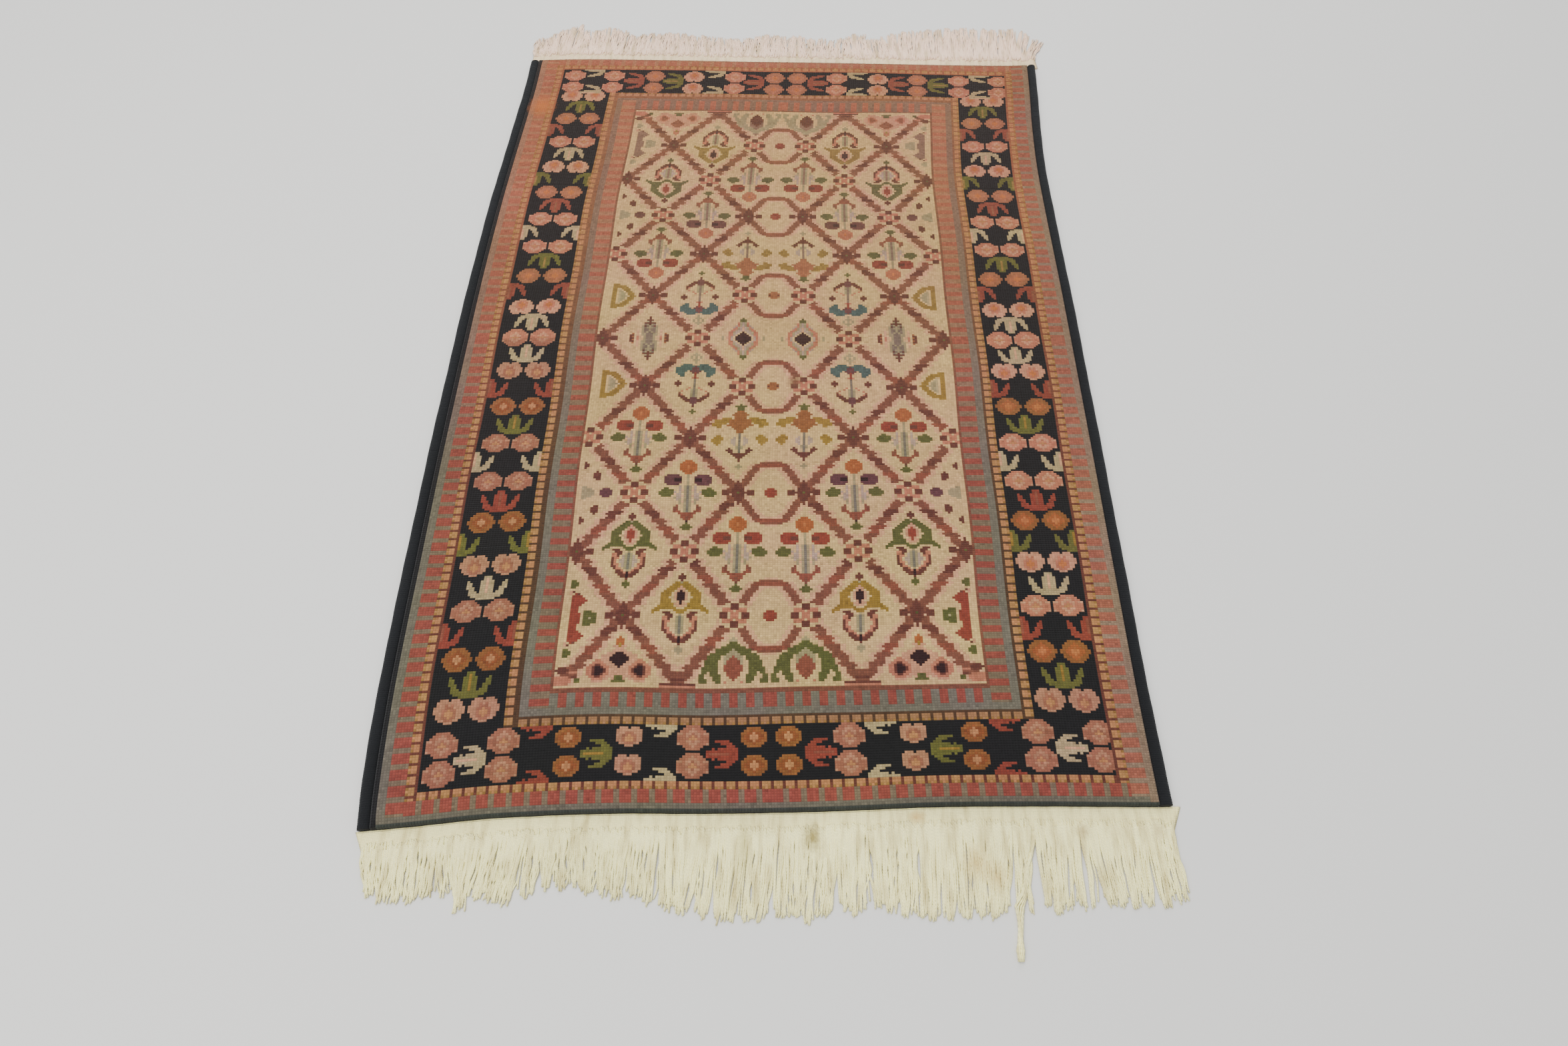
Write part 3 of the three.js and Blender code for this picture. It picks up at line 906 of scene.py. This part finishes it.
def fringe_yarns(end, chance, material):
    """The warp ends, each a fine twisted yarn, gathered into loose locks."""
    count = LOCKS_AN_END * YARN["a_lock"]
    around = YARN["around"]
    steps = YARN["steps"]
    mesh, x, y = as_mesh(copies_of(grid_of(around, steps), count), f"fringe_yarns_{end}")
    yarn = np.floor((x + 0.5) / 10).astype(int)
    side = x - yarn * 10
    t, is_open = along_tube(y, steps)
    onto = (np.abs(uneven(np.arange(count), 4)) * 0.4 + 0.1)[yarn]
    plan = {name: values[yarn] for name, values in yarn_plan(end, chance).items()}
    drift = chance.standard_normal((4, count))[:, yarn]
    loose = plan["loose"]
    start = band_edge(end, plan["root"], 1 - onto)
    reach = np.where(loose, LOOSE_LOCK["tip"], plan["reach"])
    across = plan["root"] + plan["lean"] * t**1.4 + plan["pull"] * t**3
    bend = np.sin(math.pi * t) * drift[0] * 0.9
    kink = np.sin(t * 12 + drift[2] * 3) * smooth(t * 3) * drift[1] * 0.55
    across = across + np.where(loose, 0, bend + kink)
    middle = LOOSE_LOCK["root"] + LOOSE_LOCK["lean"] * smooth(t)
    loop = np.clip(1 - ((t - LOOSE_LOCK["loop_at"]) / 0.09) ** 2, 0, 1)
    knot = np.clip(1 - ((t - LOOSE_LOCK["knot_at"]) / LOOSE_LOCK["knot_reach"]) ** 2, 0, 1)
    turn = plan["slot"] / YARN["a_lock"] * 2 * math.pi + t * 9
    spread = LOOSE_LOCK["spread"] + loop * 1.5 + knot * 1.5
    roped = middle + loop * LOOSE_LOCK["loop_side"] + spread * np.cos(turn)
    across = np.where(loose, across + (roped - across) * smooth(t * 3), across)
    layer = (plan["slot"] * 0.37 + np.abs(drift[3]) * 0.35) % 1.4
    low = 0.75 + layer * 0.75 * (0.4 + 0.6 * np.sin(math.pi * t))
    up = low + (BAND["thickness"] + 0.1 * layer - low) * (1 - smooth((t - 0.1) * 2.2))
    up = np.where(loose, 1.5 + 0.5 * knot + spread * 0.7 * np.sin(turn), up)
    radius = YARN["root"] + (YARN["tip"] - YARN["root"]) * t
    radius = radius * (1 + knot * loose * 0.6) * is_open
    angle = side / around * 2 * math.pi
    along = start + (reach - start) * t
    up = np.maximum(up, radius + 0.02)
    place(mesh, across + radius * np.sin(angle), along, up - radius * np.cos(angle))
    lay_uv(mesh, "yarn", yarn + side / around, t)
    columns = math.ceil(count / 4)
    u = (yarn % columns + 0.04 + 0.92 * side / around) / columns
    v = (yarn // columns + 0.02 + 0.96 * y / steps) / 4
    lay_uv(mesh, "OFBake", u, v)
    closed(mesh)
    return add_piece(mesh, material, [f"fringe_{end}"])


def rug_shift():
    """How far the part's own middle lies from the middle of the rug's own frame."""
    shares = np.linspace(0, 1, 57)
    across, along = on_pile(*np.meshgrid(shares, shares))
    low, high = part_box("rug_body")
    left = low.x / MM - across.min()
    right = high.x / MM - across.max()
    near = low.y / MM - along.min()
    far = high.y / MM - along.max()
    return (left + right) / 2, (near + far) / 2


def add_node(tree, kind, settings=None, **sockets):
    """Adds a shader node and gives its outputs. A socket takes a value, or another node's output."""
    node = tree.nodes.new(f"ShaderNode{kind}")
    for name, value in (settings or {}).items():
        setattr(node, name, value)
    for name, value in sockets.items():
        feed(tree, node.inputs[name.replace("_", " ")], value)
    return node.outputs


def feed(tree, socket, value):
    """Links another node's output to a socket, or gives it a value or the colour of a dye's code."""
    if isinstance(value, bpy.types.NodeSocket):
        tree.links.new(value, socket)
    elif isinstance(value, str):
        socket.default_value = (*linear_dye(value), 1)
    else:
        socket.default_value = value


def reckon(tree, operation, *values, vector=False):
    """A Math or Vector Math node, and what it puts out."""
    node = tree.nodes.new("ShaderNodeVectorMath" if vector else "ShaderNodeMath")
    node.operation = operation
    for socket, value in zip(node.inputs, values):
        feed(tree, socket, value)
    return node.outputs["Value" if operation == "LENGTH" else 0]


def times(tree, first, second):
    return reckon(tree, "MULTIPLY", first, second)


def plus(tree, first, second):
    return reckon(tree, "ADD", first, second)


def ripple(tree, value, often):
    return reckon(tree, "SINE", times(tree, value, often))


def blend(tree, factor, first, second, kind="MIX"):
    """Mixes two colours."""
    node = tree.nodes.new("ShaderNodeMix")
    node.data_type = "RGBA"
    node.blend_type = kind
    for number, value in ((0, factor), (6, first), (7, second)):
        feed(tree, node.inputs[number], value)
    return node.outputs[2]


def shaded(tree, colour, value):
    """The same colour, lighter or darker by a value."""
    grey = add_node(tree, "CombineColor", Red=value, Green=value, Blue=value)[0]
    return blend(tree, 1.0, colour, grey, "MULTIPLY")


def spread_out(tree, value, low, high):
    """Nothing at the low value, one at the high value, and even between them."""
    return add_node(tree, "MapRange", Value=value, From_Min=low, From_Max=high)[0]


def object_place(tree):
    return add_node(tree, "TexCoord")["Object"]


def noise(tree, where, scale, detail=3.0):
    return add_node(tree, "TexNoise", Vector=where, Scale=scale, Detail=detail)[0]


def split_uv(tree, name):
    return add_node(tree, "SeparateXYZ", Vector=add_node(tree, "UVMap", {"uv_map": name})[0])


def near_to_far_mask(tree):
    """From nothing at the near end to one at the far end."""
    along = add_node(tree, "SeparateXYZ", Vector=object_place(tree))[1]
    return spread_out(tree, along, -0.3, 0.42)


def effect_group(name, inputs, outputs):
    """An empty shader group with named sockets, its tree and its two end nodes."""
    tree = bpy.data.node_groups.new(name, "ShaderNodeTree")
    for in_out, sockets in (("INPUT", inputs), ("OUTPUT", outputs)):
        for label, kind in sockets:
            tree.interface.new_socket(label, in_out=in_out, socket_type=f"NodeSocket{kind}")
    start = tree.nodes.new("NodeGroupInput")
    end = tree.nodes.new("NodeGroupOutput")
    return tree, start.outputs, end.inputs


def fibre_group():
    """Fine hairs and slow shade differences, for wool and cotton."""
    inputs = [("Colour", "Color"), ("Fineness", "Float"), ("Contrast", "Float")]
    tree, given, result = effect_group("spun_fibre", inputs, [("Colour", "Color"), ("Height", "Float")])
    where = object_place(tree)
    hairs = noise(tree, where, given["Fineness"], 4.0)
    from_hairs = reckon(tree, "SUBTRACT", hairs, 0.5)
    from_clouds = times(tree, reckon(tree, "SUBTRACT", noise(tree, where, 9.0), 0.5), 0.7)
    change = times(tree, plus(tree, from_hairs, from_clouds), given["Contrast"])
    feed(tree, result["Colour"], shaded(tree, given["Colour"], plus(tree, change, 1.0)))
    feed(tree, result["Height"], hairs)
    return tree


def stain_group():
    """An old mark with a ragged rim at one place on the rug."""
    inputs = [("Colour", "Color"), ("Mark", "Color"), ("Place", "Vector"), ("Spread", "Vector"),
              ("Amount", "Float")]
    tree, given, result = effect_group("old_mark", inputs, [("Colour", "Color")])
    where = object_place(tree)
    away = reckon(tree, "SUBTRACT", where, given["Place"], vector=True)
    away = reckon(tree, "MULTIPLY", away, given["Spread"], vector=True)
    reach = reckon(tree, "LENGTH", away, vector=True)
    reach = plus(tree, reach, times(tree, noise(tree, where, 420.0), 0.9))
    amount = times(tree, spread_out(tree, reach, 1.7, 0.6), given["Amount"])
    feed(tree, result["Colour"], blend(tree, amount, given["Colour"], given["Mark"]))
    return tree


def spun(tree, fibre, kind, colour):
    """A colour and a relief with one kind of fibre."""
    fineness, contrast = FIBRES[kind]
    settings = {"node_tree": fibre}
    return add_node(tree, "Group", settings, Colour=colour, Fineness=fineness, Contrast=contrast)


def marked(tree, colour, stain, marks):
    """The same colour with old marks on it."""
    for (across, along), (wide, long), dye, amount in marks:
        colour = add_node(
            tree,
            "Group",
            {"node_tree": stain},
            Colour=colour,
            Mark=dye,
            Place=((across + SHIFT[0]) * MM, (along + SHIFT[1]) * MM, 0.002),
            Spread=(1 / (wide * MM), 1 / (long * MM), 0),
            Amount=amount,
        )["Colour"]
    return colour


def new_material(name, roughness, sheen):
    material = bpy.data.materials.new(name)
    material.use_nodes = True
    surface = material.node_tree.nodes["Principled BSDF"].inputs
    shine = {"Roughness": roughness, "Specular IOR Level": 0.2}
    shine.update({"Sheen Weight": sheen, "Sheen Roughness": 0.6})
    for label, value in shine.items():
        surface[label].default_value = value
    return material, material.node_tree, surface


def dress(tree, surface, colour, height, distance, strength=1.0):
    """Gives a surface its colour and its relief, with the relief's depth in millimetres."""
    feed(tree, surface["Base Color"], colour)
    bump = add_node(tree, "Bump", Height=height, Strength=strength, Distance=distance * MM)
    feed(tree, surface["Normal"], bump[0])


def wool_material(fibre, stain):
    """Knotted wool in its dyes, with painted shade in the gaps between knots and painted light of the
    pile's nap, paler and pinker towards the far end.
    """
    material, tree, surface = new_material("pile_wool", 0.95, WOOL["sheen"])
    dye = add_node(tree, "Attribute", {"attribute_name": "dye"})["Color"]
    within = [reckon(tree, "FRACT", axis) for axis in split_uv(tree, "knots")[:2]]
    humps = [ripple(tree, share, math.pi) for share in within]
    tuft = reckon(tree, "POWER", times(tree, *humps), 0.5)
    # Painted light of the pile's nap: the dyes pinker and paler towards the far end
    away = near_to_far_mask(tree)
    tinted = blend(tree, away, dye, blend(tree, 1.0, dye, WOOL["tint"], "MULTIPLY"))
    nap_lit = blend(tree, times(tree, away, WOOL["nap_light"]), tinted, WOOL["pale"])
    nap_lit = marked(tree, nap_lit, stain, WOOL_MARKS)
    change = spread_out(tree, noise(tree, object_place(tree), 16.0), 0.35, 0.65)
    cast = blend(tree, change, WOOL["yellowish"], WOOL["pinkish"])
    fibres = spun(tree, fibre, "pile", blend(tree, 1.0, nap_lit, cast, "MULTIPLY"))
    # Painted shade in the gaps between knots
    shade = plus(tree, times(tree, tuft, WOOL["gap_shade"]), 1 - WOOL["gap_shade"])
    height = plus(tree, tuft, times(tree, fibres["Height"], 0.6))
    dress(tree, surface, shaded(tree, fibres["Colour"], shade), height, 0.5, 0.8)
    return material


def overcast_material(fibre):
    """Dark wool wrapped round the edge cord."""
    material, tree, surface = new_material("overcast_wool", 0.95, 0.05)
    fibres = spun(tree, fibre, "overcast", OVERCAST_DYE)
    dress(tree, surface, fibres["Colour"], fibres["Height"], 0.6)
    return material


def cotton_material(relief, fibre, stain):
    """Undyed cotton with its old marks, dust streaks that partly stand for painted shade between the
    fringe's locks, and painted shade in the hollows of its relief; relief is woven for the bands and
    twisted for the yarns.
    """
    cotton = COTTON[relief]
    material, tree, surface = new_material(f"{relief}_cotton", 0.9, 0.1)
    split = split_uv(tree, cotton["map"])
    if relief == "woven":
        height = plus(tree, times(tree, ripple(tree, split[0], 4.6), 0.35), ripple(tree, split[1], 5.2))
    else:
        around = times(tree, split[0], 4 * math.pi)
        height = reckon(tree, "SINE", plus(tree, around, times(tree, split[1], 160.0)))
    # Painted shade in the hollows of the weave and the twist
    groove_shade = plus(tree, times(tree, height, 0.05), 0.95)
    ground = blend(tree, near_to_far_mask(tree), cotton["near"], cotton["far"])
    fibres = spun(tree, fibre, "cotton", shaded(tree, ground, groove_shade))
    stretch = reckon(tree, "MULTIPLY", object_place(tree), (1.0, 0.16, 0.0), vector=True)
    # Dust streaks, partly painted shade between the fringe's locks
    dust_and_shade = times(tree, spread_out(tree, noise(tree, stretch, 190.0), 0.46, 0.74), DUST_AND_SHADE["amount"])
    dusty_and_shaded = blend(tree, dust_and_shade, fibres["Colour"], DUST_AND_SHADE["dye"])
    dress(tree, surface, marked(tree, dusty_and_shaded, stain, COTTON_MARKS), height, cotton["depth"], 0.7)
    return material


def add_floor():
    material, tree, surface = new_material("pale_floor", 0.6, 0.0)
    feed(tree, surface["Base Color"], FLOOR["dye"])
    sheet = bmesh.new()
    bmesh.ops.create_grid(sheet, x_segments=1, y_segments=1, size=FLOOR["half_size"])
    mesh, _, _ = as_mesh(sheet, "studio_floor")
    mesh.materials.append(material)
    floor = add_object("studio_floor", mesh)


def add_soft_light(name, place_at, aim, size, power):
    lamp = bpy.data.lights.new(name, "AREA")
    lamp.shape = "DISK"
    lamp.size = size
    lamp.energy = power
    light = add_object(name, lamp)
    light.location = place_at
    way = Vector(aim) - Vector(place_at)
    light.rotation_euler = way.to_track_quat("-Z", "Y").to_euler()


def add_camera():
    lens = bpy.data.cameras.new("photo_camera")
    lens.lens = CAMERA["lens"]
    lens.sensor_width = 36
    lens.sensor_fit = "HORIZONTAL"
    lens.clip_start = 0.01
    camera = add_object("photo_camera", lens)
    across, along, up = CAMERA["place"]
    camera.location = ((across + SHIFT[0]) * MM, (along + SHIFT[1]) * MM, up * MM)
    camera.rotation_euler = (math.radians(CAMERA["tip_up"]), 0, math.radians(CAMERA["turn"]))
    bpy.context.scene.camera = camera


def add_studio():
    world = bpy.data.worlds.new("studio")
    world.use_nodes = True
    background = world.node_tree.nodes["Background"].inputs
    background["Color"].default_value = SKY["colour"]
    background["Strength"].default_value = SKY["strength"]
    bpy.context.scene.world = world
    for name, light in LIGHTS.items():
        add_soft_light(name, *light)


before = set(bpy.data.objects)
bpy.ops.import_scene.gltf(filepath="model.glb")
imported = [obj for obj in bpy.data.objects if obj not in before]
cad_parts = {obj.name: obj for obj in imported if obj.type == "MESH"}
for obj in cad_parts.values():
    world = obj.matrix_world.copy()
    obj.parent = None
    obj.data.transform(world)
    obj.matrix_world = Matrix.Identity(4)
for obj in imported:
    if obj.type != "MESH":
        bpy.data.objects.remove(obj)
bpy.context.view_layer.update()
chance = np.random.default_rng(SEED)
SHIFT = rug_shift()
fibre = fibre_group()
stain = stain_group()
pile_wool = wool_material(fibre, stain)
overcast = overcast_material(fibre)
woven_cotton = cotton_material("woven", fibre, stain)
twisted_cotton = cotton_material("twisted", fibre, stain)

design = dyed_design(chance)
lengths = [pile_panel(number, design, chance, pile_wool) for number in range(PANELS)]
back = knotted_back(design, pile_wool)
edges = [selvedge(-1, overcast), selvedge(1, overcast)]
near_end = [end_band("near", woven_cotton), fringe_yarns("near", chance, twisted_cotton)]
far_end = [end_band("far", woven_cotton), fringe_yarns("far", chance, twisted_cotton)]

add_floor()
add_studio()
add_camera()
